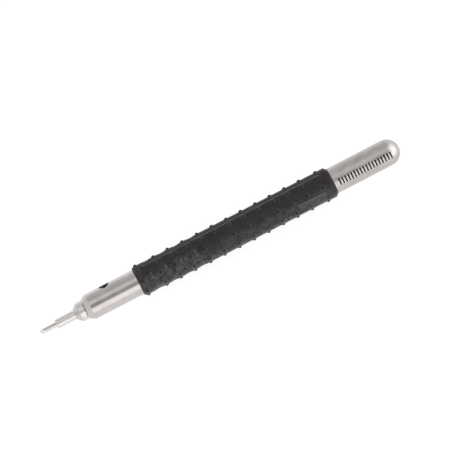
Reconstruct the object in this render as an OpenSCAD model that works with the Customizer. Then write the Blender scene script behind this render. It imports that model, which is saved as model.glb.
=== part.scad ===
// Watchmaker's screwdriver: a changeable bit clamped in a steel barrel, a nubbed rubber
// grip on a light tube, and a domed end cap that unscrews.
// The tool lies on its grip nubs on Z = 0 with its axis along X and its tip toward -X.
// Stations are distances along the axis from the driving edge, and rolls are angles
// about the axis from straight up toward -Y. All sizes are in millimetres.

/* [Blade] */
// Diameter of the blade's rod, which is also the width of its edge
blade_d = 1.4; // [1.3:0.05:1.6]
// Length of the blade, with the part that is seated in the holder
blade_len = 12; // [10:0.5:12.5]
// Length of the blade in front of the holder
blade_reach = 5.2; // [4:0.1:6]
// Thickness of the driving edge
edge_t = 0.25; // [0.2:0.05:0.4]
// Angle of each ground face to the axis
grind_angle = 20; // [14:1:26]
// Roll of the ground faces
grind_roll = 32; // [0:1:90]
// Bevel that breaks the two corners of the edge
edge_corner = 0.28; // [0.1:0.02:0.32]

/* [Blade holder] */
// Diameter of the snout
snout_d = 2.85; // [2.6:0.05:3.2]
// Length of the snout
snout_len = 6.2; // [6:0.1:8]
// Bevel on the snout's front edge
snout_bevel = 0.3; // [0.1:0.05:0.4]
// Length of the cone behind the snout
cone_len = 1.5; // [1.2:0.1:2]
// Diameter of the collar
collar_d = 5.95; // [5.6:0.05:6.1]
// Length of the collar
collar_len = 1.8; // [1.4:0.1:2.2]
// Diameter of the shank inside the barrel
shank_d = 4; // [3.8:0.1:4.1]
// Length of the shank
shank_len = 15.8; // [13:0.2:16.5]
// Height of the shank's flat above the axis
flat_h = 1.5; // [1.4:0.02:1.6]
// Length of the flat, which runs out at the rear end of the shank
flat_len = 10.5; // [9.5:0.5:12]

/* [Front barrel] */
// Diameter of the barrel and of the end cap
barrel_d = 8; // [7.8:0.1:8.2]
// Length of the barrel from its nose to the grip
barrel_len = 17.6; // [17:0.05:19]
// Gap between the collar and the nose
nose_gap = 0.15; // [0.1:0.05:0.3]
// Diameter of the nose's flat face
nose_d = 6.2; // [6:0.1:6.6]
// Length of the nose bevel
nose_len = 1.7; // [1.2:0.1:2.2]
// Distance of the clamp screw behind the nose face
clamp_at = 8.05; // [7.5:0.05:9]
// Roll of the clamp screw's hole
clamp_roll = -57; // [-90:1:-30]
// Bevel round the clamp screw's hole
clamp_rim = 0.22; // [0.1:0.02:0.4]

/* [Clamp screw and pad] */
// Outer diameter of the clamp screw
screw_d = 3; // [2.6:0.1:3]
// Length of the clamp screw
screw_len = 1.55; // [1.4:0.05:1.7]
// Hexagon socket, across its flats
socket_af = 1.5; // [1.3:0.1:1.5]
// Depth of the socket
socket_depth = 0.9; // [0.7:0.05:1]
// Thickness of the pad under the screw
pad_t = 0.4; // [0.3:0.05:0.5]

/* [Core tube] */
// Outside diameter of the tube, which is the bore of the grip
core_d = 7; // [6.8:0.1:7.2]
// Bore of the tube
core_bore = 4.6; // [4.4:0.1:4.8]
// Length of the barrel's spigot in the tube
spigot_len = 8; // [6:0.5:10]

/* [Grip] */
// Length of the rubber sleeve
grip_len = 64.15; // [64:0.05:66]
// Diameter of the sleeve between its nubs
grip_d = 9.3; // [9:0.1:9.8]
// Length of the rounded-down front edge
grip_front = 1; // [0.5:0.1:1.3]
// How much smaller in radius the front edge is
grip_drop = 0.35; // [0.2:0.05:0.4]
// Rows of nubs round the sleeve
nub_rows = 8; // [6, 8, 10]
// Radius of a nub
nub_r = 0.55; // [0.5:0.05:0.6]
// Height of a nub above the sleeve
nub_h = 0.4; // [0.3:0.05:0.45]
// Distance between the evenly spaced rings of nubs
nub_pitch = 4.85; // [4.8:0.01:4.9]
// Rings of nubs that are evenly spaced
even_rings = 11; // [9:1:11]
// Distance from the front edge to the first of those
even_from = 7.3; // [7:0.1:7.8]
// Distance from the front edge to the first ring of all
first_ring = 1.25; // [1.2:0.05:2]
// Distance from the rear edge to the last ring of all
last_ring = 2.85; // [1.4:0.05:3.2]
// Finger grooves at the front
finger_grooves = 4; // [0:1:6]
// Depth of a finger groove
groove_depth = 0.12; // [0.1:0.02:0.3]
// Width of a finger groove
groove_w = 2.6; // [2:0.1:3]

/* [Rear ring] */
// Diameter of the ring
ring_d = 8.5; // [8.3:0.1:8.8]
// Thickness of the ring
ring_t = 0.5; // [0.5:0.05:1]

/* [End cap] */
// Length of the cap from the ring to the end of its dome
cap_len = 22.25; // [20:0.05:24]
// Gap between the ring and the cap
cap_gap = 0.05; // [0.04:0.01:0.1]
// Outer diameter of the cap's thread
cap_thread_d = 5; // [4.9:0.1:5.1]
// Length of the cap's thread
cap_thread_len = 5.3; // [5.2:0.1:6]
// Diameter of the plain neck behind the thread
neck_d = 5.3; // [5.3:0.02:5.36]
// Length of the neck
neck_len = 2.3; // [2.2:0.1:2.6]
// Diameter of the O-ring's section
ring_section = 0.7; // [0.6:0.02:0.7]
// Length of the spare blades that stands out of the bore
spare_reach = 1.5; // [1:0.1:3]

/* [Hidden] */
$fn = 96;
SATIN_STEEL = "#bdb6b2";
TURNED_STEEL = "#cdc7c3";
TOOL_STEEL = "#c4bcb4";
BLACK_STEEL = "#2d2d2f";
BRASS = "#b5924f";
ALUMINIUM = "#a9abad";
RUBBER = "#3b3b3b";
SEAL_RUBBER = "#232323";

// Radial clearance of a running fit, and the room left between faces that only meet
run_fit = 0.05;
face_fit = 0.02;
// How far a cutter goes past the face that it cuts
over = 1;

// Stations along the axis
snout_at = blade_reach;
cone_at = snout_at + snout_len;
collar_at = cone_at + cone_len;
shank_at = collar_at + collar_len;
shank_end = shank_at + shank_len;
nose_at = shank_at + nose_gap;
grip_at = nose_at + barrel_len;
ring_at = grip_at + grip_len;
ring_end = ring_at + ring_t;
cap_at = ring_end + cap_gap;
neck_at = cap_at - neck_len;
thread_at = neck_at - cap_thread_len;
tool_len = cap_at + cap_len;

// Resting height of the axis, on two rows of nubs, and the place of the tip
row_step = 360 / nub_rows;
nub_centre = grip_d / 2 + nub_h - nub_r;
axis_z = nub_centre * cos(row_step / 2) + nub_r;
tip_x = -tool_len / 2;

// Places and radii that several parts share
shank_bore = shank_d / 2 + run_fit;
shank_bore_depth = shank_end + 1 - nose_at;
clamp_station = nose_at + clamp_at;
clamp_hole = screw_d / 2 + run_fit;
pad_floor = flat_h + face_fit;
screw_floor = pad_floor + pad_t + face_fit;
tube_thread = cap_thread_d / 2 + run_fit;
tube_mouth = neck_d / 2 + 2 * run_fit;
o_ring_outer = tube_mouth - run_fit;
o_ring_centre = o_ring_outer - ring_section / 2;
o_ring_groove = o_ring_outer - ring_section - run_fit;
o_ring_at = neck_at + neck_len / 2;
spare_bore = 2 * blade_d + 4 * run_fit;
spare_end = thread_at - spare_reach + blade_len;
first_even = grip_at + even_from;
nub_rings = concat(
    [grip_at + first_ring],
    [for (i = [0 : even_rings - 1]) first_even + i * nub_pitch],
    [ring_at - last_ring]
);
groove_r = groove_w * groove_w / (8 * groove_depth) + groove_depth / 2;

// Puts a shape drawn along local Z on the tool's axis, with local X pointing up
module on_axis() {
    translate([tip_x, 0, axis_z])
        rotate([0, 90, 0])
            rotate([0, 0, 180])
                children();
}

// Puts a shape drawn along local Z on the clamp screw's own axis
module on_clamp() {
    on_axis()
        rotate([0, 0, clamp_roll])
            translate([0, 0, clamp_station])
                rotate([0, 90, 0])
                    children();
}

// A turned shape from [radius, station] points
module turned(points) {
    rotate_extrude()
        polygon(points);
}

// A round hole or rod from one station to another
module round_bar(radius, from, to) {
    translate([0, 0, from])
        cylinder(r = radius, h = to - from);
}

// A blade with its edge at station 0
module blade_shape() {
    half_edge = edge_t / 2;
    half = blade_d / 2;
    grind_len = (half - half_edge) / tan(grind_angle);
    corner_r = half - edge_corner;
    intersection() {
        turned([[0, 0], [corner_r, 0], [half, 1.6 * edge_corner], [half, blade_len], [0, blade_len]]);
        rotate([90, 0, 0])
            linear_extrude(height = 2 * blade_d, center = true)
                polygon([
                    [-half_edge, 0], [half_edge, 0], [half, grind_len], [half, blade_len],
                    [-half, blade_len], [-half, grind_len]
                ]);
    }
}

// Steel blade, pressed into the holder
module blade() {
    color(TOOL_STEEL)
        on_axis()
            rotate([0, 0, grind_roll])
                blade_shape();
}

// Turned bit: snout, cone, collar and a shank with a flat for the pad
module blade_holder() {
    snout_r = snout_d / 2;
    collar_r = collar_d / 2;
    shank_r = shank_d / 2;
    shank_bevel = 0.3;
    collar_bevel = 0.12;
    color(TURNED_STEEL)
        on_axis()
            difference() {
                turned([
                    [0, snout_at], [snout_r - snout_bevel, snout_at], [snout_r, snout_at + snout_bevel],
                    [snout_r, cone_at], [collar_r, collar_at], [collar_r, shank_at - collar_bevel],
                    [collar_r - collar_bevel, shank_at], [shank_r, shank_at],
                    [shank_r, shank_end - shank_bevel], [shank_r - shank_bevel, shank_end], [0, shank_end]
                ]);
                round_bar(blade_d / 2, snout_at - over, blade_len);
                rotate([0, 0, clamp_roll])
                    translate([flat_h, -shank_d, shank_end - flat_len])
                        cube([shank_d, 2 * shank_d, flat_len + over]);
            }
}

// Brass disc between the clamp screw and the shank's flat
module clamp_pad() {
    color(BRASS)
        on_clamp()
            round_bar(screw_d / 2 - 2 * run_fit, pad_floor, pad_floor + pad_t);
}

// Headless screw with a hexagon socket
module clamp_screw() {
    screw_r = screw_d / 2;
    screw_bevel = 0.2;
    screw_top = screw_floor + screw_len;
    socket_r = socket_af / 2 / cos(30);
    color(BLACK_STEEL)
        on_clamp()
            difference() {
                turned([
                    [0, screw_floor], [screw_r - screw_bevel, screw_floor],
                    [screw_r, screw_floor + screw_bevel], [screw_r, screw_top - screw_bevel],
                    [screw_r - screw_bevel, screw_top], [0, screw_top]
                ]);
                translate([0, 0, screw_top - socket_depth])
                    cylinder(r = socket_r, h = socket_depth + over, $fn = 6);
            }
}

// Turned barrel: bevelled nose, bore for the shank, clamp hole and a spigot for the tube
module front_barrel() {
    barrel_r = barrel_d / 2;
    spigot_r = core_bore / 2;
    nose_r = nose_d / 2;
    color(TURNED_STEEL)
        difference() {
            on_axis()
                difference() {
                    turned([
                        [0, nose_at], [nose_r, nose_at], [barrel_r, nose_at + nose_len],
                        [barrel_r, grip_at], [spigot_r, grip_at],
                        [spigot_r, grip_at + spigot_len], [0, grip_at + spigot_len]
                    ]);
                    round_bar(shank_bore, nose_at - over, nose_at + shank_bore_depth);
                }
            on_clamp()
                round_bar(clamp_hole, 0, barrel_r + over);
            on_clamp()
                translate([0, 0, barrel_r - clamp_rim])
                    cylinder(r1 = clamp_hole, r2 = clamp_hole + 2 * clamp_rim, h = 2 * clamp_rim);
        }
}

// Light tube under the grip, tapped at its rear end for the cap
module core_tube() {
    mouth_len = neck_len + face_fit;
    thread_room = thread_at - run_fit;
    color(ALUMINIUM)
        on_axis()
            difference() {
                round_bar(core_d / 2, grip_at, ring_end);
                round_bar(core_bore / 2, grip_at - over, ring_end + over);
                round_bar(tube_thread, thread_room, ring_end + over);
                round_bar(tube_mouth, cap_at - mouth_len, ring_end + over);
            }
}

// Moulded rubber sleeve with rings of nubs and finger grooves
module grip_sleeve() {
    grip_r = grip_d / 2;
    color(RUBBER)
        on_axis() {
            difference() {
                turned([
                    [core_d / 2, grip_at], [grip_r - grip_drop, grip_at],
                    [grip_r, grip_at + grip_front], [grip_r, ring_at], [core_d / 2, ring_at]
                ]);
                for (i = [0 : 1 : finger_grooves - 1])
                    translate([0, 0, first_even + (i - 0.5) * nub_pitch])
                        rotate_extrude()
                            translate([grip_r - groove_depth + groove_r, 0])
                                circle(r = groove_r);
            }
            for (ring = nub_rings)
                for (row = [0 : nub_rows - 1])
                    rotate([0, 0, (row + 0.5) * row_step])
                        translate([nub_centre, 0, ring])
                            sphere(r = nub_r);
        }
}

// Black ring that holds the rear end of the sleeve
module rear_ring() {
    ring_bevel = 0.15;
    color(SEAL_RUBBER)
        on_axis()
            turned([
                [core_d / 2, ring_at], [ring_d / 2, ring_at], [ring_d / 2, ring_end - ring_bevel],
                [ring_d / 2 - ring_bevel, ring_end], [core_d / 2, ring_end]
            ]);
}

// Seal on the neck of the cap
module cap_o_ring() {
    color(SEAL_RUBBER)
        on_axis()
            translate([0, 0, o_ring_at])
                rotate_extrude()
                    translate([o_ring_centre, 0])
                        circle(r = ring_section / 2);
}

// Domed cap with a neck, a thread and a bore for the spare blades
module end_cap() {
    cap_r = barrel_d / 2;
    neck_r = neck_d / 2;
    groove_half = ring_section / 2 + 2 * run_fit;
    cap_bevel = 0.12;
    thread_bevel = 0.3;
    thread_r = cap_thread_d / 2;
    dome_at = tool_len - cap_r;
    color(SATIN_STEEL)
        on_axis()
            difference() {
                union() {
                    turned([
                        [0, thread_at], [thread_r - thread_bevel, thread_at],
                        [thread_r, thread_at + thread_bevel], [thread_r, neck_at], [neck_r, neck_at],
                        [neck_r, o_ring_at - groove_half], [o_ring_groove, o_ring_at - groove_half],
                        [o_ring_groove, o_ring_at + groove_half], [neck_r, o_ring_at + groove_half],
                        [neck_r, cap_at], [cap_r - cap_bevel, cap_at], [cap_r, cap_at + cap_bevel],
                        [cap_r, dome_at], [0, dome_at]
                    ]);
                    intersection() {
                        translate([0, 0, dome_at])
                            sphere(r = cap_r);
                        round_bar(cap_r + over, dome_at, tool_len + over);
                    }
                }
                round_bar(spare_bore / 2, thread_at - over, spare_end);
            }
}

// Two spare blades, standing in the cap with their edges inward
module spare_blades() {
    color(TOOL_STEEL)
        on_axis()
            for (side = [-1, 1])
                translate([0, side * (blade_d / 2 + face_fit), spare_end])
                    rotate([180, 0, 0])
                        blade_shape();
}

blade();
blade_holder();
clamp_pad();
clamp_screw();
front_barrel();
core_tube();
grip_sleeve();
rear_ring();
cap_o_ring();
end_cap();
spare_blades();
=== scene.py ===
"""Looks of the watchmaker's screwdriver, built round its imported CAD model.

The tool lies on its grip along X, with its blade toward -X. Sizes are in millimetres until a mesh
is made. A station is a distance along the axis from the blade's edge, and a roll is an angle about
the axis from straight up toward -Y.
"""

import math

import bmesh
import bpy
import numpy as np
from mathutils import Matrix, Vector


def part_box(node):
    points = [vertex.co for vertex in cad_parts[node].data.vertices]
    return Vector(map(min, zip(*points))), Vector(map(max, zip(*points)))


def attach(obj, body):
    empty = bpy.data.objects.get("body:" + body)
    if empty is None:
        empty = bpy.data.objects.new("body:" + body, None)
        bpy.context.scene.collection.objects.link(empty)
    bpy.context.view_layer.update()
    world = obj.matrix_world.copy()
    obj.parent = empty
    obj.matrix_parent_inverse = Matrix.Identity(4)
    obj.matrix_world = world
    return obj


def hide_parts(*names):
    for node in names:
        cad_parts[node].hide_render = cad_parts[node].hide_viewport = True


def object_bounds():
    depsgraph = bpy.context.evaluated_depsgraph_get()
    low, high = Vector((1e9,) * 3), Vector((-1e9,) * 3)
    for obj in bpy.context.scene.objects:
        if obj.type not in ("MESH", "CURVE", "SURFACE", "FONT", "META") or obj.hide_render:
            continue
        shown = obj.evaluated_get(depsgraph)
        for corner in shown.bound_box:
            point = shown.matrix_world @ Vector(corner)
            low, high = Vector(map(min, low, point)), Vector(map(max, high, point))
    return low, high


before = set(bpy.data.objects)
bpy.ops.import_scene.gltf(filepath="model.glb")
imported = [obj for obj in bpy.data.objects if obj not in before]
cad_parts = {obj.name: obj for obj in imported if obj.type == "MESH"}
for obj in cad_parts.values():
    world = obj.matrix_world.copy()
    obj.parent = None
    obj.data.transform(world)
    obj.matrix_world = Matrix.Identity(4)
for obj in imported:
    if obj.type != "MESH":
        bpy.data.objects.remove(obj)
cad_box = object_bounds()

# ---- Camera ----------------------------------------------------------------------------------
# A long lens far above the bench, leaning a little toward -Y and toward the blade, so that the
# tool shows almost in plan and runs up to the right.
lens = 400
sensor = 36
view_width = 0.13305
lean = math.radians(15.5)
slew = math.radians(2.6)
slant = math.radians(27.435)
aim_right = 0.00152
aim_up = 0.00427

to_camera = Vector(
    (-math.sin(slew), -math.cos(slew) * math.sin(lean), math.cos(slew) * math.cos(lean))
)
along = (Vector((1, 0, 0)) - to_camera * to_camera.x).normalized()
across = to_camera.cross(along)
right = along * math.cos(slant) - across * math.sin(slant)
up = along * math.sin(slant) + across * math.cos(slant)
aim = (cad_box[0] + cad_box[1]) / 2 + right * aim_right + up * aim_up

camera = bpy.data.objects.new("camera", bpy.data.cameras.new("camera"))
camera.data.lens = lens
camera.data.sensor_width = sensor
camera.data.clip_end = 10
camera.matrix_world = (
    Matrix.Translation(aim + to_camera * view_width * lens / sensor)
    @ Matrix((right, up, to_camera)).transposed().to_4x4()
)
bpy.context.scene.collection.objects.link(camera)
bpy.context.scene.camera = camera
bpy.context.scene.view_settings.view_transform = "Standard"


# ---- Light -----------------------------------------------------------------------------------
# A white tent with one wide softbox in front of the tool, a narrow strip above it and a softbox
# past the cap. The opening that the camera looks through is the darkest part of the tent.
def add(tree, kind, inputs=None, **settings):
    """Adds a node, with its settings and with sockets or plain values on its inputs."""
    made = tree.nodes.new(kind)
    for name, value in settings.items():
        setattr(made, name, value)
    for key, value in (inputs or {}).items():
        if isinstance(value, bpy.types.NodeSocket):
            tree.links.new(value, made.inputs[key])
        else:
            made.inputs[key].default_value = value
    return made


def maths(tree, operation, *values):
    """Result of a maths node."""
    return add(tree, "ShaderNodeMath", dict(enumerate(values)), operation=operation).outputs[0]


def mapped(tree, value, start, end, low=0, high=1, **settings):
    """A value that runs from low to high while another runs from start to end."""
    sockets = {"Value": value, "From Min": start, "From Max": end, "To Min": low, "To Max": high}
    return add(tree, "ShaderNodeMapRange", sockets, **settings).outputs["Result"]


def ramp_of(tree, value, stops, interpolation="LINEAR"):
    """Colour that follows a value through stops, each a place and a colour."""
    made = add(tree, "ShaderNodeValToRGB", {"Fac": value})
    made.color_ramp.interpolation = interpolation
    line = made.color_ramp.elements
    while len(line) < len(stops):
        line.new(1)
    for element, (place, shade) in zip(line, stops):
        element.position = place
        element.color = shade
    return made.outputs["Color"]


wall = 0.72
wall_low = 0.61
gap = 0.44
strip = 0.9
softbox = 1.42
side = 0.84
# Brightness round the tool, by roll in degrees
tent = [
    (-180, side),
    (-100, side),
    (-84, wall),
    (-34, wall_low),
    (-20, strip),
    (-2, strip),
    (11, gap),
    (31, gap),
    (42, softbox),
    (75, softbox),
    (91, side),
    (180, side),
]
# A colour ramp holds nothing above 1, so the tent is stored at half its brightness
full_scale = 2
# The two end walls, from behind the tool to in front of it
side_behind = 0.88
side_in_front = 0.96
side_blend = 0.3
# How much of the light is left straight past the blade and past the cap
blade_end = 0.6
cap_end = 1.3
# The softbox past the cap: its angle from the camera's direction, its spread, its soft surround
end_softbox = 0.84
end_angle = math.radians(67)
end_spread = math.radians(52)
end_fill = 0.22
backdrop = 1.05
# X of a direction, or its nearness to the end softbox, over which each part fades in
to_end_walls = (0.45, 0.8)
to_blade_end = (-1, -0.85)
to_cap_end = (0.35, 0.7)
to_surround = (0.5, 0.85)

world = bpy.data.worlds.new("studio_tent")
bpy.context.scene.world = world
world.use_nodes = True
tree = world.node_tree
tree.nodes.clear()
way = add(tree, "ShaderNodeTexCoord").outputs["Generated"]
split = add(tree, "ShaderNodeSeparateXYZ", {0: way}).outputs
front = maths(tree, "MULTIPLY", split["Y"], -1)
roll = maths(tree, "ARCTAN2", front, split["Z"])
by_roll = ramp_of(
    tree,
    mapped(tree, roll, -math.pi, math.pi),
    [((r + 180) / 360, (v / full_scale,) * 3 + (1,)) for r, v in tent],
    "EASE",
)
lengthwise = maths(tree, "ABSOLUTE", split["X"])
to_side = mapped(tree, lengthwise, *to_end_walls, interpolation_type="SMOOTHSTEP")
side_light = mapped(
    tree, front, -side_blend, side_blend, side_behind / full_scale, side_in_front / full_scale
)
walls = add(tree, "ShaderNodeMix", {0: to_side, 6: by_roll, 7: side_light}, data_type="RGBA")
past_blade = mapped(tree, split["X"], *to_blade_end, blade_end * full_scale, full_scale)
past_cap = mapped(tree, split["X"], *to_cap_end, 1, cap_end)
end_tone = maths(tree, "MULTIPLY", past_blade, past_cap)
end_way = to_camera * math.cos(end_angle) + along * math.sin(end_angle)
facing = add(tree, "ShaderNodeVectorMath", {0: way, 1: end_way}, operation="DOT_PRODUCT")
facing = facing.outputs["Value"]
at_end = mapped(tree, facing, math.cos(end_spread), 1, interpolation_type="SMOOTHSTEP")
near_end = mapped(tree, facing, *to_surround, 0, end_fill, interpolation_type="SMOOTHSTEP")
end_glow = maths(tree, "MULTIPLY_ADD", at_end, end_softbox, near_end)
tent_light = add(tree, "ShaderNodeBackground", {"Color": walls.outputs[2], "Strength": end_tone})
end_light = add(tree, "ShaderNodeBackground", {"Color": (1, 1, 1, 1), "Strength": end_glow})
both = add(tree, "ShaderNodeAddShader", {0: tent_light.outputs[0], 1: end_light.outputs[0]})
white = add(tree, "ShaderNodeBackground", {"Color": (1, 1, 1, 1), "Strength": backdrop})
seen = add(tree, "ShaderNodeLightPath").outputs["Is Camera Ray"]
shown = add(tree, "ShaderNodeMixShader", {0: seen, 1: both.outputs[0], 2: white.outputs[0]})
add(tree, "ShaderNodeOutputWorld", {"Surface": shown.outputs[0]})


# ---- Table -----------------------------------------------------------------------------------
# A sheet of white opal acrylic lit from below, as used for cut-out product pictures: it leaves
# only a trace of shadow under the tool, and fills the tool's underside with light.
MM = 0.001


def linear(code):
    """Linear colour of an sRGB hex value."""
    parts = [int(code[i : i + 2], 16) / 255 for i in (1, 3, 5)]
    return tuple(p / 12.92 if p <= 0.04045 else ((p + 0.055) / 1.055) ** 2.4 for p in parts) + (1,)


def shade(mesh, work, crisp=32):
    """Writes a bmesh to a mesh that is smooth, with edges sharper than crisp degrees kept hard."""
    bmesh.ops.recalc_face_normals(work, faces=work.faces)
    work.to_mesh(mesh)
    work.free()
    mesh.shade_smooth()
    mesh.set_sharp_from_angle(angle=math.radians(crisp))


def piece(name, points, faces, crisp=32):
    """An object made of points and faces."""
    mesh = bpy.data.meshes.new(name)
    mesh.from_pydata([tuple(p) for p in points], [], faces)
    work = bmesh.new()
    work.from_mesh(mesh)
    shade(mesh, work, crisp)
    made = bpy.data.objects.new(name, mesh)
    bpy.context.scene.collection.objects.link(made)
    return made


def finish_of(name, colour, roughness, metallic=0.0):
    """A new material, its nodes, its shader, and the place on the tool in millimetres."""
    made = bpy.data.materials.new(name)
    made.use_nodes = True
    nodes = made.node_tree
    shader = nodes.nodes["Principled BSDF"]
    shader.inputs["Base Color"].default_value = linear(colour)
    shader.inputs["Roughness"].default_value = roughness
    shader.inputs["Metallic"].default_value = metallic
    metres = add(nodes, "ShaderNodeTexCoord").outputs["Object"]
    spot = add(nodes, "ShaderNodeVectorMath", {0: metres, "Scale": 1 / MM}, operation="SCALE")
    return made, nodes, shader, spot.outputs[0]


sheet_half = 1.5
sheet_glow = 0.87
sheet_corners = [(-1, -1), (1, -1), (1, 1), (-1, 1)]
table = piece("table", [(x * sheet_half, y * sheet_half, 0) for x, y in sheet_corners], [(0, 1, 2, 3)])
opal, nodes, shader, spot = finish_of("opal_acrylic_backlit", "#777777", 0.6)
shader.inputs["Emission Color"].default_value = (1, 1, 1, 1)
shader.inputs["Emission Strength"].default_value = sheet_glow
shader.inputs["Specular IOR Level"].default_value = 0
table.data.materials.append(opal)


# ---- Blade -----------------------------------------------------------------------------------
# A rod of hardened tool steel pressed into the holder. Two faces are ground across its end to
# the thickness of a screw slot, and the corners of the edge are broken.
tip_x = cad_box[0].x
axis_z = sum(p.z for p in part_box("end_cap")) / 2
# Distances below this count as nothing, in millimetres
NONE = 1e-6
# Most of a noise pattern's values lie between these two
noise_low = 0.3
noise_high = 0.7


def reach(node):
    """Front and rear station of a CAD node."""
    low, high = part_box(node)
    return (low.x - tip_x) / MM, (high.x - tip_x) / MM


def on_axis(station, radius, roll):
    """Points at a station, radius and roll on the tool."""
    station, radius, roll = np.broadcast_arrays(station, radius, roll)
    x = tip_x + station * MM
    y = -radius * np.sin(roll) * MM
    z = axis_z + radius * np.cos(roll) * MM
    return np.stack([x, y, z], -1)


def outline(corners, steps=5, loop=0.05):
    """Points of an outline of (station, radius, rounding) corners, with a point close to each side
    of every rounding so that the stretches between them shade flat."""
    line = []
    for i, (s, r, rounding) in enumerate(corners):
        here = np.array([s, r], float)
        if rounding == 0 or i in (0, len(corners) - 1):
            line.append(here)
            continue
        back = np.array(corners[i - 1][:2]) - here
        ahead = np.array(corners[i + 1][:2]) - here
        room = min(np.linalg.norm(back), np.linalg.norm(ahead)) / 2
        back /= np.linalg.norm(back)
        ahead /= np.linalg.norm(ahead)
        half = math.acos(np.clip(back @ ahead, -1, 1)) / 2
        setback = rounding / math.tan(half)
        middle = here + (back + ahead) / np.linalg.norm(back + ahead) * rounding / math.sin(half)
        begin = here + back * setback - middle
        finish = here + ahead * setback - middle
        sweep = math.pi - 2 * half
        if setback + loop < room:
            line.append(here + back * (setback + loop))
        for k in range(steps + 1):
            a = sweep * k / steps
            line.append(middle + (begin * math.sin(sweep - a) + finish * math.sin(a)) / math.sin(sweep))
        if setback + loop < room:
            line.append(here + ahead * (setback + loop))
    return line


def join_rows(rows, closed=False):
    """Faces between neighbouring rows of vertex numbers; a row of one number is a pole."""
    faces = []
    pairs = list(zip(rows, rows[1:])) + ([(rows[-1], rows[0])] if closed else [])
    for a, b in pairs:
        for i in range(max(len(a), len(b))):
            j = i + 1
            corners = [a[i % len(a)], a[j % len(a)], b[j % len(b)], b[i % len(b)]]
            faces.append(tuple(dict.fromkeys(corners)))
    return faces


def lathe(line, around=192, place=on_axis, shape=None):
    """Points and faces of an outline turned about an axis. shape may change the radii of a row."""
    rolls = np.arange(around) * 2 * math.pi / around
    points, rows = [], []
    for s, r in line:
        if r < NONE:
            rows.append([len(points)])
            points.append(place(s, 0.0, 0.0))
            continue
        radii = np.full(around, r) if shape is None else shape(s, rolls, np.full(around, r))
        rows.append(list(range(len(points), len(points) + around)))
        points.extend(place(s, radii, rolls))
    return points, join_rows(rows)


def handled(nodes, spot, shader, roughness, spread, patch=4.0):
    """Roughness that varies in soft patches, in millimetres, as on metal that has been handled."""
    pattern = {"Vector": spot, "Scale": 1 / patch, "Detail": 4}
    smudge = add(nodes, "ShaderNodeTexNoise", pattern).outputs[0]
    varied = mapped(nodes, smudge, noise_low, noise_high, roughness - spread, roughness + spread)
    nodes.links.new(varied, shader.inputs["Roughness"])
    return smudge


def turning_marks(nodes, spot, pitch, depth):
    """Normal of fine marks that a lathe tool or a polishing cloth leaves round the axis."""
    station = add(nodes, "ShaderNodeSeparateXYZ", {0: spot}).outputs["X"]
    pattern = {"W": station, "Scale": 1 / pitch, "Detail": 3, "Roughness": 0.6}
    marks = add(nodes, "ShaderNodeTexNoise", pattern, noise_dimensions="1D")
    relief = {"Height": marks.outputs[0], "Distance": depth * MM, "Strength": 1}
    return add(nodes, "ShaderNodeBump", relief).outputs[0]


blade_front, blade_rear = reach("blade")
blade_r = 0.7
edge_half = 0.125
broken_corner = 0.4
corner_run = 1.6 * broken_corner
# Slope of the ground faces, and the roll that they face
grind = math.radians(20)
grind_roll = math.radians(32)

points, faces = lathe(
    outline(
        [
            (blade_front, 0, 0),
            (blade_front, blade_r - broken_corner, 0),
            (blade_front + corner_run, blade_r, 0.1),
            (blade_rear, blade_r, 0),
            (blade_rear, 0, 0),
        ]
    ),
    around=96,
)
blade = piece("ground_blade", points, faces)
work = bmesh.new()
work.from_mesh(blade.data)
thick_way = Vector(on_axis(0, 1, grind_roll) - on_axis(0, 0, 0)).normalized()
for facing_way in (thick_way, -thick_way):
    cut = bmesh.ops.bisect_plane(
        work,
        geom=[*work.verts, *work.edges, *work.faces],
        plane_co=Vector(on_axis(0, 0, 0)) + facing_way * edge_half * MM,
        plane_no=facing_way * math.cos(grind) - Vector((1, 0, 0)) * math.sin(grind),
        clear_outer=True,
    )
    rim = [e for e in cut["geom_cut"] if isinstance(e, bmesh.types.BMEdge)]
    bmesh.ops.edgeloop_fill(work, edges=rim)
shade(blade.data, work)

# Ground and stoned tool steel: bright, with fine grinding lines that run across the blade
ground_steel, nodes, shader, spot = finish_of("tool_steel_ground", "#cfc9c4", 0.24, 1.0)
handled(nodes, spot, shader, 0.24, 0.06, patch=1.5)
nodes.links.new(turning_marks(nodes, spot, 0.15, 0.004), shader.inputs["Normal"])
blade.data.materials.append(ground_steel)
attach(blade, "bit")
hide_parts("blade")

# ---- Blade holder ----------------------------------------------------------------------------
# The changeable bit, turned in stainless steel: a slim snout, a cone, a collar that stops it
# against the barrel, and a shank with a flat milled along it for the clamp pad.
holder_front, holder_rear = reach("blade_holder")
snout_r = 1.425
cone_front = holder_front + 6.2
collar_front = cone_front + 1.5
collar_rear = collar_front + 1.8
collar_r = 2.975
shank_r = 2.0
snout_bevel = 0.3
socket_bevel = 0.06
collar_bevel = 0.12
shank_bevel = 0.3
flat_height = 1.5
flat_front = holder_rear - 10.5
flat_step = 0.001
# The flat can't reach the surface where the cosine of the angle from it is below this
flat_limit = 0.2
clamp_roll = math.radians(-57)


def flat_on_shank(station, rolls, radii):
    """Radii of a shank row, cut down to the flat that faces the clamp screw."""
    if station < flat_front:
        return radii
    toward = np.cos(rolls - clamp_roll)
    limit = np.where(toward > flat_limit, flat_height / np.maximum(toward, flat_limit), radii)
    return np.minimum(radii, limit)


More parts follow.
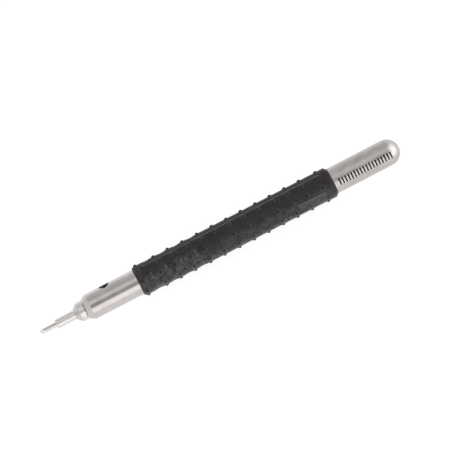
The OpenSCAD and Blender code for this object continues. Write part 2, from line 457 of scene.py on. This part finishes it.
holder_line = outline(
    [
        (blade_rear, 0, 0),
        (blade_rear, blade_r, 0),
        (holder_front + socket_bevel, blade_r, 0),
        (holder_front, blade_r + socket_bevel, 0),
        (holder_front, snout_r - snout_bevel, 0.08),
        (holder_front + snout_bevel, snout_r, 0.12),
        (cone_front, snout_r, 0.12),
        (collar_front, collar_r, 0.15),
        (collar_rear - collar_bevel, collar_r, 0.06),
        (collar_rear, collar_r - collar_bevel, 0.04),
        (collar_rear, shank_r, 0.1),
        (flat_front - flat_step, shank_r, 0),
        (flat_front, shank_r, 0),
        (holder_rear - shank_bevel, shank_r, 0.08),
        (holder_rear, shank_r - shank_bevel, 0.08),
        (holder_rear, 0, 0),
    ]
)
points, faces = lathe(holder_line, shape=flat_on_shank)
holder = piece("turned_holder", points, faces)

# Free-cutting stainless steel straight from the lathe: paler than the polished barrel, and its
# feed marks spread each reflection lengthwise. Real marks are 0.05 mm apart, drawn at 0.14 mm.
feed_marked, nodes, shader, spot = finish_of("stainless_steel_turned", "#dad6d4", 0.35, 1.0)
handled(nodes, spot, shader, 0.35, 0.05, patch=1.5)
nodes.links.new(turning_marks(nodes, spot, 0.14, 0.016), shader.inputs["Normal"])
# The cone faces toward the blade, where the light is weaker, and is painted a little darker than the
# snout and collar: painted shade
edge_room = 1.0
shown_from = tip_x / MM + cone_front - edge_room
shown_to = tip_x / MM + collar_front + edge_room
shaded_cone_share = edge_room / (shown_to - shown_from)
station = add(nodes, "ShaderNodeSeparateXYZ", {0: spot}).outputs["X"]
# Painted shade: the cone's stretch of the holder gets a darker base colour
tint = ramp_of(
    nodes,
    mapped(nodes, station, shown_from, shown_to),
    [(0, linear("#dad6d4")), (shaded_cone_share, linear("#c8c4c2")), (1 - shaded_cone_share, linear("#dad6d4"))],
    "CONSTANT",
)
nodes.links.new(tint, shader.inputs["Base Color"])
holder.data.materials.append(feed_marked)
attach(holder, "bit")
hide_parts("blade_holder")

# ---- Clamp pad -------------------------------------------------------------------------------
# A small brass disc between the clamp screw and the shank's flat, so that the screw can't bite
# into the shank. It lies at the bottom of the screw's hole.
turned_brass, nodes, shader, spot = finish_of("brass_turned", "#c9a55c", 0.3, 1.0)
handled(nodes, spot, shader, 0.3, 0.08, patch=0.8)
nodes.links.new(turning_marks(nodes, spot, 0.12, 0.004), shader.inputs["Normal"])
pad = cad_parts["clamp_pad"]
pad.data.materials.clear()
pad.data.materials.append(turned_brass)

# ---- Clamp screw -----------------------------------------------------------------------------
# A headless M3 screw of blackened steel with a hexagon socket. It sits below the barrel's surface
# and presses the pad onto the shank.
barrel_front, spigot_rear = reach("front_barrel")
clamp_station = barrel_front + 8.05
screw_r = 1.5
screw_floor = 1.94
screw_top = screw_floor + 1.55
socket_half = 0.75
socket_floor = screw_top - 0.9
thread_pitch = 0.5
thread_depth = 0.22
thread_runout = 0.25
foot_bevel = 0.3
top_bevel = 0.2


def on_clamp(height, radius, turn):
    """Points at a height, radius and turn about the clamp screw's own axis."""
    height, radius, turn = np.broadcast_arrays(height, radius, turn)
    sideways = radius * np.sin(turn)
    return on_axis(
        clamp_station + radius * np.cos(turn),
        np.hypot(height, sideways),
        clamp_roll + np.arctan2(sideways, height),
    )


def thread_cut(place, turns, pitch, depth):
    """Depth below the crest of a right-hand thread with narrow crests, by place along its axis."""
    phase = (place / pitch - turns / (2 * math.pi)) % 1
    return depth * np.clip(1.25 - np.abs(2 * phase - 1) * 1.5, 0, 1)


def screw_row(height, turns, radii):
    """Radii of a row of the screw: a thread outside, a hexagon inside."""
    if radii[0] > screw_r - 0.01:
        ends = height - screw_floor, screw_top - height
        fade = min(1, *(end / thread_runout for end in ends))
        return radii - max(0, fade) * thread_cut(height, turns, thread_pitch, thread_depth)
    if radii[0] == socket_half:
        sixth = math.pi / 3
        return radii / np.cos((turns + sixth / 2) % sixth - sixth / 2)
    return radii


thread_rows = [(h, screw_r) for h in np.linspace(screw_floor + 0.2, screw_top - 0.15, 34)]
points, faces = lathe(
    [
        (screw_floor, 0),
        (screw_floor, screw_r - foot_bevel),
        (screw_floor + 0.06, screw_r - 0.22),
        *thread_rows,
        (screw_top - 0.04, screw_r - 0.13),
        (screw_top, screw_r - top_bevel),
        (screw_top, socket_half + 0.25),
        (screw_top, socket_half + 0.001),
        (screw_top - 0.03, socket_half),
        (socket_floor, socket_half),
        (socket_floor, socket_half - 0.1),
        (socket_floor - 0.18, 0),
    ],
    place=on_clamp,
    shape=screw_row,
)
screw = piece("socket_screw", points, faces)

# Black oxide on steel: a dark satin skin, rubbed brighter in patches where the key has worn it
black_oxide, nodes, shader, spot = finish_of("steel_black_oxide", "#2f2f31", 0.42, 0.8)
rub = handled(nodes, spot, shader, 0.42, 0.1, patch=0.5)
tint = ramp_of(nodes, rub, [(0.45, linear("#29292b")), (0.75, linear("#4c4b4b"))])
nodes.links.new(tint, shader.inputs["Base Color"])
screw.data.materials.append(black_oxide)
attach(screw, "clamp_screw")
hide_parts("clamp_screw")

# ---- Front barrel ----------------------------------------------------------------------------
# Turned and polished stainless steel, 8 mm bar: a bevelled nose, a bore for the shank, a tapped
# cross hole with a broken rim for the clamp screw, and a spigot pushed into the tube.
barrel_r = 4.0
nose_r = 3.1
nose_rear = barrel_front + 1.7
barrel_rear = reach("grip_sleeve")[0]
bore_r = 2.05
bore_rear = holder_rear + 1.0
spigot_r = 2.3
drill_point = 0.6
mouth_bevel = 0.15
face_edge = 0.3
hole_r = 1.55
rim_bevel = 0.1
# The stretch round the cross hole whose faces are left out and built anew, and its grid
patch_half = 2.4
patch_rows = 22
patch_columns = 19
columns = 192
turn_step = 2 * math.pi / columns
from_hole = (np.arange(columns) - columns // 2) * turn_step
outer_reach = patch_columns * turn_step
bore_reach = math.radians(60)
bore_from_hole = np.where(
    np.abs(from_hole) < outer_reach,
    from_hole * bore_reach / outer_reach,
    np.sign(from_hole)
    * (bore_reach + (np.abs(from_hole) - outer_reach) * (math.pi - bore_reach) / (math.pi - outer_reach)),
)
patch_stations = list(np.linspace(clamp_station - patch_half, clamp_station + patch_half, patch_rows + 1))

bore_line = [(bore_rear + drill_point, 0), (bore_rear, bore_r)]
bore_line += [(s, bore_r) for s in reversed(patch_stations)]
bore_line += [(barrel_front + mouth_bevel, bore_r), (barrel_front, bore_r + mouth_bevel)]
outer_line = outline(
    [
        (barrel_front, bore_r + face_edge, 0),
        (barrel_front, nose_r, 0.22),
        (nose_rear, barrel_r, 0.15),
        (patch_stations[0], barrel_r, 0),
    ],
    steps=7,
)
outer_line += [(s, barrel_r) for s in patch_stations[1:]]
outer_line += outline(
    [
        (patch_stations[-1] + 0.3, barrel_r, 0),
        (barrel_rear - 0.05, barrel_r, 0.05),
        (barrel_rear - 0.02, spigot_r, 0),
        (spigot_rear, spigot_r, 0),
        (spigot_rear, 0, 0),
    ]
)

points, rows = [], []
for inside, line in ((True, bore_line), (False, outer_line)):
    angles = clamp_roll + (bore_from_hole if inside else from_hole)
    for s, r in line:
        if r < NONE:
            rows.append([len(points)])
            points.append(on_axis(s, 0.0, 0.0))
        else:
            rows.append(list(range(len(points), len(points) + columns)))
            points.extend(on_axis(s, r, angles))

bore_first = 2
outer_first = next(
    i for i in range(len(bore_line), len(rows))
    if abs((points[rows[i][0]][0] - tip_x) / MM - patch_stations[0]) < NONE
)
first_column = columns // 2 - patch_columns
last_column = columns // 2 + patch_columns
patches = {(bore_first, bore_first + patch_rows), (outer_first, outer_first + patch_rows)}
faces = []
for i, (a, b) in enumerate(zip(rows, rows[1:])):
    in_patch = any(low <= i < high for low, high in patches)
    for j, face in enumerate(join_rows([a, b])):
        if not (in_patch and first_column <= j < last_column):
            faces.append(face)


def patch_edge(first, step):
    """Vertex numbers round a patch, walked the same way outside and in the bore."""
    row = [rows[first + step * k] if step > 0 else rows[first - k] for k in range(patch_rows + 1)]
    low = [row[0][c] for c in range(first_column, last_column)]
    far = [row[k][last_column] for k in range(patch_rows)]
    high = [row[-1][c] for c in range(last_column, first_column, -1)]
    near = [row[k][first_column] for k in range(patch_rows, 0, -1)]
    return low + far + high + near


def flat_place(numbers, inside):
    """Places of patch vertices across the hole: along the tool, and sideways from the hole's axis."""
    angles = bore_from_hole if inside else from_hole
    radius = bore_r if inside else barrel_r
    made = []
    for n in numbers:
        row = next(r for r in rows if r[0] <= n <= r[-1])
        made.append(((points[n][0] - tip_x) / MM - clamp_station, radius * math.sin(angles[n - row[0]])))
    return np.array(made)


def on_wall(place, radius):
    """Points of a barrel surface over places across the hole."""
    height = np.sqrt(np.maximum(radius**2 - place[:, 1] ** 2, 0))
    return on_clamp(height, np.hypot(place[:, 0], place[:, 1]), np.arctan2(place[:, 1], place[:, 0]))


outer_edge = patch_edge(outer_first, 1)
bore_edge = patch_edge(bore_first + patch_rows, -1)
outer_place = flat_place(outer_edge, False)
bore_place = flat_place(bore_edge, True)
turns = np.arctan2(outer_place[:, 1], outer_place[:, 0])
circle = np.stack([np.cos(turns), np.sin(turns)], -1)
rim = np.full(len(turns), hole_r + rim_bevel)
# The bevel is a cone of 45 degrees, so it is narrower where the barrel curves away
for _ in range(12):
    height = np.sqrt(barrel_r**2 - (rim * circle[:, 1]) ** 2)
    rim = np.maximum(hole_r + 0.05, hole_r + height - (barrel_r - rim_bevel))

rings = [outer_edge]


def add_ring(new_points):
    """Adds one ring of the hole, joined to the ring before it."""
    rings.append(list(range(len(points), len(points) + len(new_points))))
    points.extend(new_points)


for share in (0.3, 0.6, 0.85, 0.96, 1.0):
    add_ring(on_wall(outer_place * (1 - share) + circle * rim[:, None] * share, barrel_r))
rim_height = np.sqrt(barrel_r**2 - (rim * circle[:, 1]) ** 2)
wall_top = rim_height - (rim - hole_r)
wall_foot = np.sqrt(bore_r**2 - (hole_r * circle[:, 1]) ** 2)
for share in (0, 0.04, 0.3, 0.6, 0.9, 1.0):
    add_ring(on_clamp(wall_top * (1 - share) + wall_foot * share, hole_r, turns))
for share in (0.2, 0.5, 0.8):
    add_ring(on_wall(circle * hole_r * (1 - share) + bore_place * share, bore_r))
rings.append(bore_edge)
faces += join_rows(rings)
barrel = piece("turned_barrel", points, faces)

# Stainless steel, fine turned and polished: reflections are clear lengthwise, a little broken by
# turning marks. Real marks are about 0.05 mm apart and are drawn at 0.35 mm, or none would show.
turned_steel, nodes, shader, spot = finish_of("stainless_steel_turned_polished", "#cac5c1", 0.17, 1.0)
smudge = handled(nodes, spot, shader, 0.17, 0.04, patch=3)
nodes.links.new(turning_marks(nodes, spot, 0.35, 0.003), shader.inputs["Normal"])
tint = ramp_of(nodes, smudge, [(noise_low, linear("#bfb9b6")), (noise_high, linear("#cbc5c3"))])
nodes.links.new(tint, shader.inputs["Base Color"])
barrel.data.materials.append(turned_steel)
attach(barrel, "handle")
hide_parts("front_barrel")

# ---- Core tube -------------------------------------------------------------------------------
# A drawn aluminium tube that carries the grip. The barrel's spigot is pushed into its front, and
# its rear end is tapped for the cap.
drawn_aluminium, nodes, shader, spot = finish_of("aluminium_drawn", "#b9bbbd", 0.35, 1.0)
handled(nodes, spot, shader, 0.35, 0.08)
nodes.links.new(turning_marks(nodes, spot, 0.4, 0.003), shader.inputs["Normal"])
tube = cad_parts["core_tube"]
tube.data.materials.clear()
tube.data.materials.append(drawn_aluminium)

# ---- Grip sleeve -----------------------------------------------------------------------------
# Moulded black rubber, stretched over the tube: rings of small pins on low mounds, four finger
# grooves at the front, the parting ridge of the mould, and fine ribs near the rear.
sleeve_front, sleeve_rear = reach("grip_sleeve")
sleeve_r = 4.65
sleeve_bore = 3.5
pin_rows = 8
pin_pitch = 4.85
even_rings = 11
first_even = sleeve_front + 7.3
first_ring = sleeve_front + 1.25
last_ring = sleeve_rear - 2.85
pin_rings = np.array([first_ring, *(first_even + pin_pitch * np.arange(even_rings)), last_ring])
row_step = 2 * math.pi / pin_rows
pin_r = 0.55
pin_sunk = 0.15
# Moulding leaves the pins a little out of place and of unequal height
pin_scatter = 0.05
pin_lowest = 0.86
pin_highest = 1.04
mound_height = 0.055
mound_top = 0.45
mound_r = 1.0
groove_stations = first_even + pin_pitch * (np.arange(4) - 0.5)
groove_depth = 0.12
groove_half = 1.3
ridge_roll = math.radians(-34.5)
ridge_front = sleeve_front + 2.9
ridge_rear = sleeve_rear - 2.6
ridge_corner = 0.8
ridge_height = 0.07
# How much of the ridge and of the step a finger groove takes away
groove_wipe = 0.8
# Behind the ridge the skin slopes down to it, and comes back up in a step
lap_depth = 0.17
lap_width = 1.45
# Short bent creases along the front of each groove
crease_roll = math.radians(19)
crease_height = 0.06
crease_bend = 0.25
crease_width = 1.3
crease_lead = 0.55
crease_half = math.radians(19)
crease_full = math.radians(10)
rib_rolls = np.radians([42, 47, 51.5, 56, 62])
rib_front = sleeve_front + 52
rib_rear = sleeve_rear - 2.8
rib_height = 0.05
band_front = sleeve_rear - 2.5
band_height = 0.05
# The front narrows over its first millimetre, and both edges are rounded
taper_depth = 0.35
taper_bend = 1.6
front_rounding = 0.16
rear_rounding = 0.2
# The skin is a little uneven, as rubber stretched over a tube is
swell_count = 9
swell_height = 0.035


def fall(distance, top, foot):
    """1 up to top, 0 from foot on, with a smooth slope between."""
    t = np.clip((foot - distance) / (foot - top), 0, 1)
    return t * t * (3 - 2 * t)


def graded(start, end, spots, near, fine, coarse):
    """Places from start to end, close together near the spots and further apart elsewhere."""
    places = [start]
    while places[-1] < end:
        gap_to = np.min(np.abs(np.asarray(spots) - places[-1]))
        places.append(places[-1] + (fine if gap_to < near else coarse))
    places = np.array(places)
    return start + (places - start) * (end - start) / (places[-1] - start)


fine_step = 0.085
wide_step = 0.26
fine_half = 0.55
row_rolls = (np.arange(pin_rows) + 0.5) * row_step
lines = np.concatenate([row_rolls, [ridge_roll % (2 * math.pi)], rib_rolls]) * sleeve_r
girth = 2 * math.pi * sleeve_r
sleeve_rolls = graded(0, girth, lines, fine_half, fine_step, wide_step)[:-1] / sleeve_r
spots = [*pin_rings, *groove_stations, sleeve_front, sleeve_rear]
sleeve_stations = graded(sleeve_front, sleeve_rear, spots, fine_half, fine_step, wide_step)
S, W = np.meshgrid(sleeve_stations, sleeve_rolls, indexing="ij")

rng = np.random.default_rng(7)
ring_of = np.abs(S[..., None] - pin_rings).argmin(-1)
row_of = np.round(W / row_step - 0.5).astype(int) % pin_rows
shift_s = rng.normal(0, pin_scatter, (len(pin_rings), pin_rows))
shift_w = rng.normal(0, pin_scatter, (len(pin_rings), pin_rows))
tall = rng.uniform(pin_lowest, pin_highest, (len(pin_rings), pin_rows))
off_s = S - pin_rings[ring_of] - shift_s[ring_of, row_of]
off_w = (W - (np.round(W / row_step - 0.5) + 0.5) * row_step) * sleeve_r - shift_w[ring_of, row_of]
off_pin = np.hypot(off_s, off_w)
balls = np.sqrt(np.maximum(pin_r**2 - off_pin**2, 0))
pins = np.maximum(balls - pin_sunk, 0) * tall[ring_of, row_of]
mounds = fall(off_pin, mound_top, mound_r)

groove = np.zeros_like(S)
for g in groove_stations:
    groove = np.maximum(groove, 1 - ((S - g) / groove_half) ** 2)
groove = np.where(groove > 0, groove * groove * (3 - 2 * groove), 0)

crease_line = S - crease_bend * ((W - crease_roll) * sleeve_r / crease_width) ** 2
to_crease = np.min(np.abs(crease_line[..., None] - (groove_stations - crease_lead)), -1)
frayed = 0.7 + 0.3 * np.sin(11 * W + 2.1 * S)
creases = frayed * fall(to_crease, 0.1, 0.6) * fall(np.abs(W - crease_roll), crease_full, crease_half)

wrap = (W - ridge_roll + math.pi) % (2 * math.pi) - math.pi
side_w = wrap * sleeve_r
turn_s = ridge_rear - ridge_corner
to_line = np.where(
    S < turn_s,
    np.abs(side_w),
    np.where(
        side_w < ridge_corner,
        np.abs(np.hypot(S - turn_s, side_w - ridge_corner) - ridge_corner),
        np.abs(S - ridge_rear),
    ),
)
ridge = fall(to_line, 0.07, 0.26) * fall(ridge_front - S, -0.4, 0) * fall(side_w, 0.6, 2.2)
ridge = ridge * (1 - groove_wipe * groove)
lap = np.clip(1 + side_w / lap_width, 0, 1) * fall(side_w, -0.1, 0.02)
lap = lap * fall(ridge_front - S, -0.6, 0) * fall(S - ridge_rear, -0.5, 0) * (1 - groove_wipe * groove)
ribs = np.zeros_like(S)
for r in rib_rolls:
    patchy = 0.55 + 0.45 * np.sin(1.9 * S + 40 * r) * np.sin(0.67 * S + 90 * r)
    full = patchy if r > rib_rolls[0] else 1
    ribs = np.maximum(ribs, full * fall(np.abs((W - r) * sleeve_r), 0.03, 0.17))
ribs = ribs * fall(rib_front - S, -0.5, 0) * fall(S - rib_rear, -0.3, 0)

front_place = S - sleeve_front
rear_place = sleeve_rear - S
base = sleeve_r - taper_depth * np.clip(1 - front_place, 0, 1) ** taper_bend
base += band_height * fall(band_front - S, -0.25, 0.05)
for place_in, rounding in ((front_place, front_rounding), (rear_place, rear_rounding)):
    inset = np.clip(rounding - place_in, 0, rounding)
    base -= rounding - np.sqrt(rounding**2 - inset**2)
uneven = np.zeros_like(S)
for _ in range(swell_count):
    waves_s = rng.uniform(0.15, 1.1)
    waves_w = rng.integers(1, 7)
    uneven += np.sin(waves_s * S + waves_w * W + rng.uniform(0, 2 * math.pi)) / swell_count
R = base + swell_height * uneven - groove_depth * groove
R += mound_height * mounds + pins
R += ridge_height * ridge + rib_height * ribs + crease_height * creases - lap_depth * lap

count = len(sleeve_rolls)
points = list(on_axis(S, R, W).reshape(-1, 3))
rows = [list(range(i * count, (i + 1) * count)) for i in range(len(sleeve_stations))]
for s in (sleeve_rear, sleeve_front):
    rows.append(list(range(len(points), len(points) + count)))
    points.extend(on_axis(s, sleeve_bore, sleeve_rolls))
sleeve = piece("rubber_sleeve", points, join_rows(rows, closed=True), crisp=60)


def paint(name, values):
    """Stores a value at each point of the sleeve's outside, for its material to read."""
    every = np.zeros(len(points), np.float32)
    every[: values.size] = values.ravel()
    sleeve.data.attributes.new(name, "FLOAT", "POINT").data.foreach_set("value", every)


# How pale the skin is painted: painted highlights on the ridge, the ribs, the creases and round the pins'
# feet, and wear at the front edge
rib_highlight = 0.72
first_rib_highlight = 0.22
crease_highlight = 0.42
worn_edge = 0.1
foot_highlight_range = (0.07, 0.19)
foot_ring_r = 0.7
first_rib = fall(np.abs(W - rib_rolls[0]), 0.01, 0.03)
foot_highlight = rng.uniform(*foot_highlight_range, (len(pin_rings), pin_rows))[ring_of, row_of]
# Painted highlights: pale lines on the ridge, ribs and creases and a pale ring round each pin's foot;
# only the front edge's paleness is wear
paint(
    "wear_and_painted_highlight",
    np.maximum.reduce(
        [
            ridge * fall(side_w, 0.2, 0.6),
            ribs * (rib_highlight + first_rib_highlight * first_rib),
            crease_highlight * creases,
            foot_highlight * fall(np.abs(off_pin - foot_ring_r), 0.05, 0.26),
            worn_edge * fall(front_place, 0.3, 1.6),
        ]
    ),
)

# How pale the skin is painted, as dust together with painted light: palest along the lower edge, where
# the light falls strongest, less from there to a wavy border, a little more toward the front, and hardly
# at all on the pins
dust_outside = 0.07
painted_light_lower_half = 0.17
painted_light_lower_edge = 0.3
pale_rear_share = 0.75
pale_front_share = 0.3
kept_off_pins = 0.9
lit_edge_roll = math.radians(82)
lit_edge_top = math.radians(4)
lit_edge_foot = math.radians(26)
border_roll = math.radians(64)
border_fade = math.radians(24)
from_lit_edge = np.abs(W - lit_edge_roll)
border = border_roll + 0.09 * np.sin(0.42 * S) + 0.05 * np.sin(1.1 * S + 2)
border += 0.3 * fall(front_place, 16, 28)
# Painted light: the lower half, and most of all the lower edge, are painted paler; the even share over
# the whole skin is dust
dust_and_painted_light = dust_outside + painted_light_lower_half * fall(from_lit_edge, border - border_fade, border)
dust_and_painted_light += painted_light_lower_edge * fall(from_lit_edge, lit_edge_top, lit_edge_foot)
dust_and_painted_light *= pale_rear_share + pale_front_share * fall(front_place, 18, 26)
dust_and_painted_light *= 1 - kept_off_pins * fall(off_pin, 0.38, 0.58)
paint("dust_and_painted_light", dust_and_painted_light)

# Moulded rubber with a satin skin: near black, with a soft sheen and a fine grain. Over it go dust in
# clumps together with painted light, paler toward the lower side, and painted highlights on the crests,
# creases and pin feet. The real grain is about 0.1 mm and is drawn at 0.5 mm, or none would show.
grain_size = 0.5
swirl_size = 1.8
swirl_height = 3.0
skin_depth = 0.07
sheen_low = 0.42
sheen_high = 0.58
rubber, nodes, shader, spot = finish_of("rubber_moulded_satin", "#161616", 0.5)
shader.inputs["Specular IOR Level"].default_value = 0.33
shader.inputs["Specular Tint"].default_value = (1, 0.94, 0.97, 1)
pattern = {"Vector": spot, "Scale": 1 / grain_size, "Detail": 5, "Roughness": 0.7}
grain = add(nodes, "ShaderNodeTexNoise", pattern).outputs[0]
pattern = {"Vector": spot, "Scale": 1 / swirl_size, "Detail": 5, "Roughness": 0.62, "Distortion": 0.8}
swirl = add(nodes, "ShaderNodeTexNoise", pattern).outputs[0]
relief = maths(nodes, "ADD", maths(nodes, "MULTIPLY", swirl, swirl_height), grain)
skin = add(nodes, "ShaderNodeBump", {"Height": relief, "Distance": skin_depth * MM, "Strength": 1})
nodes.links.new(skin.outputs[0], shader.inputs["Normal"])
sheen = mapped(nodes, swirl, noise_low, noise_high, sheen_low, sheen_high)
nodes.links.new(sheen, shader.inputs["Roughness"])
# Dust and painted light show where both patterns are high together, and the painted highlights and wear
# show through it
clumps_from = 0.74
clumps_full = 0.96
mottle = maths(nodes, "MULTIPLY_ADD", grain, 0.7, swirl)
clumps = mapped(nodes, mottle, clumps_from, clumps_full)
dust_and_light = add(nodes, "ShaderNodeAttribute", attribute_name="dust_and_painted_light").outputs["Fac"]
wear_and_highlight = add(nodes, "ShaderNodeAttribute", attribute_name="wear_and_painted_highlight").outputs["Fac"]
# Painted light and painted highlights: the base colour turns paler where either attribute is high
pale = maths(nodes, "MAXIMUM", maths(nodes, "MULTIPLY", dust_and_light, clumps), wear_and_highlight)
tint = ramp_of(nodes, pale, [(0.0, linear("#141213")), (1.0, linear("#787475"))])
nodes.links.new(tint, shader.inputs["Base Color"])
sleeve.data.materials.append(rubber)
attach(sleeve, "handle")
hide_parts("grip_sleeve")

# ---- Rear ring -------------------------------------------------------------------------------
# A smooth black rubber ring pushed onto the tube behind the grip. It keeps the sleeve in place
# and cushions the cap.
ring_front, ring_rear = reach("rear_ring")
ring_r = 4.25
points, faces = lathe(
    outline(
        [
            (ring_front, sleeve_bore, 0),
            (ring_front, ring_r, 0.1),
            (ring_rear, ring_r, 0.22),
            (ring_rear, sleeve_bore, 0),
            (ring_front, sleeve_bore, 0),
        ]
    )
)
rear_ring = piece("rubber_ring", points, faces)
smooth_rubber, nodes, shader, spot = finish_of("rubber_smooth_black", "#242223", 0.28)
handled(nodes, spot, shader, 0.28, 0.05, patch=1.0)
rear_ring.data.materials.append(smooth_rubber)
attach(rear_ring, "handle")
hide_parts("rear_ring")

# ---- Cap O-ring ------------------------------------------------------------------------------
# A round-section rubber ring in a groove of the cap's neck. It keeps the cap from working loose.
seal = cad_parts["cap_o_ring"]
seal.data.materials.clear()
seal.data.materials.append(smooth_rubber)

# ---- End cap ---------------------------------------------------------------------------------
# Turned stainless steel with a satin finish: a domed end, a threaded stem that screws into the
# tube, and a bore in the stem that holds spare blades. A dark scale is marked along its side.
stem_front, dome_end = reach("end_cap")
cap_r = 4.0
cap_front = dome_end - 22.25
neck_front = cap_front - 2.3
neck_r = 2.65
stem_r = 2.5
o_ring_station = neck_front + 1.15
o_ring_floor = 1.95
o_ring_half = 0.4
store_r = 1.5
store_end = stem_front + 10.5
store_point = 0.8
store_bevel = 0.2
stem_rows = 120
stem_runout = 0.4
dome_steps = 33


def stem_row(station, turns, radii):
    """Radii of a cap row, with the thread cut into the stem."""
    if radii[0] != stem_r:
        return radii
    ends = station - stem_front, neck_front - station
    fade = min(1, *(end / stem_runout for end in ends))
    return radii - max(0, fade) * thread_cut(station, turns, thread_pitch, thread_depth)


cap_line = [
    (store_end + store_point, 0),
    (store_end, store_r),
    (stem_front + store_bevel, store_r),
    (stem_front, store_r + store_bevel),
    (stem_front, stem_r - 0.25),
]
cap_line += [(s, stem_r) for s in np.linspace(stem_front + 0.2, neck_front - 0.1, stem_rows)]
cap_line += outline(
    [
        (neck_front, stem_r - 0.1, 0),
        (neck_front, neck_r, 0.1),
        (o_ring_station - o_ring_half, neck_r, 0.05),
        (o_ring_station - o_ring_half, o_ring_floor, 0),
        (o_ring_station + o_ring_half, o_ring_floor, 0),
        (o_ring_station + o_ring_half, neck_r, 0.05),
        (cap_front, neck_r, 0.05),
        (cap_front, cap_r, 0.2),
        (dome_end - cap_r - 0.3, cap_r, 0),
    ]
)
quarter = np.linspace(0, math.pi / 2, dome_steps)
cap_line += [(dome_end - cap_r + cap_r * math.sin(a), cap_r * math.cos(a)) for a in quarter]
points, faces = lathe(cap_line, shape=stem_row)
cap = piece("domed_cap", points, faces)

# Stainless steel, satin: the same metal as the barrel, rubbed with fine grit, so that reflections
# smear into soft bands. The scale is annealed dark by laser, with no relief.
mark_roll = math.radians(32)
mark_half = 1.15
mark_short = 1.05
mark_front = cap_front + 1.6
mark_rear = cap_front + 19.4
mark_pitch = 1.0
mark_width = 0.45
long_every = 5
satin_steel, nodes, shader, spot = finish_of("stainless_steel_satin", "#b9b3b0", 0.34, 1.0)
smudge = handled(nodes, spot, shader, 0.34, 0.05, patch=2.2)
nodes.links.new(turning_marks(nodes, spot, 0.4, 0.004), shader.inputs["Normal"])
tint = ramp_of(nodes, smudge, [(noise_low, linear("#b4aeac")), (noise_high, linear("#c3bdbb"))])

split = add(nodes, "ShaderNodeSeparateXYZ", {0: spot}).outputs
steps = maths(nodes, "SUBTRACT", split["X"], tip_x / MM + mark_front)
nearest = maths(nodes, "SNAP", steps, mark_pitch)
beyond = maths(nodes, "SUBTRACT", steps, nearest)
height = maths(nodes, "SUBTRACT", split["Z"], axis_z / MM)
roll = maths(nodes, "ARCTAN2", maths(nodes, "MULTIPLY", split["Y"], -1), height)
sideways = maths(nodes, "MULTIPLY", maths(nodes, "SUBTRACT", roll, mark_roll), cap_r)
is_long = maths(nodes, "LESS_THAN", maths(nodes, "MODULO", nearest, long_every * mark_pitch), 0.5)
foot = mapped(nodes, is_long, 0, 1, mark_short, mark_half)
# A spot is dark where all of these hold
tests = [
    maths(nodes, "LESS_THAN", beyond, mark_width),
    maths(nodes, "GREATER_THAN", steps, 0.0),
    maths(nodes, "LESS_THAN", steps, mark_rear - mark_front),
    maths(nodes, "LESS_THAN", sideways, mark_half),
    maths(nodes, "LESS_THAN", maths(nodes, "MULTIPLY", sideways, -1), foot),
]
marked = tests[0]
for test in tests[1:]:
    marked = maths(nodes, "MULTIPLY", marked, test)
coloured = add(nodes, "ShaderNodeMix", {0: marked, 6: tint, 7: linear("#1b181c")}, data_type="RGBA")
nodes.links.new(coloured.outputs[2], shader.inputs["Base Color"])
cap.data.materials.append(satin_steel)
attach(cap, "cap")
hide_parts("end_cap")

# ---- Spare blades ----------------------------------------------------------------------------
# Two blades like the fitted one, standing loose in the cap's bore.
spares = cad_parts["spare_blades"]
spares.data.materials.clear()
spares.data.materials.append(ground_steel)
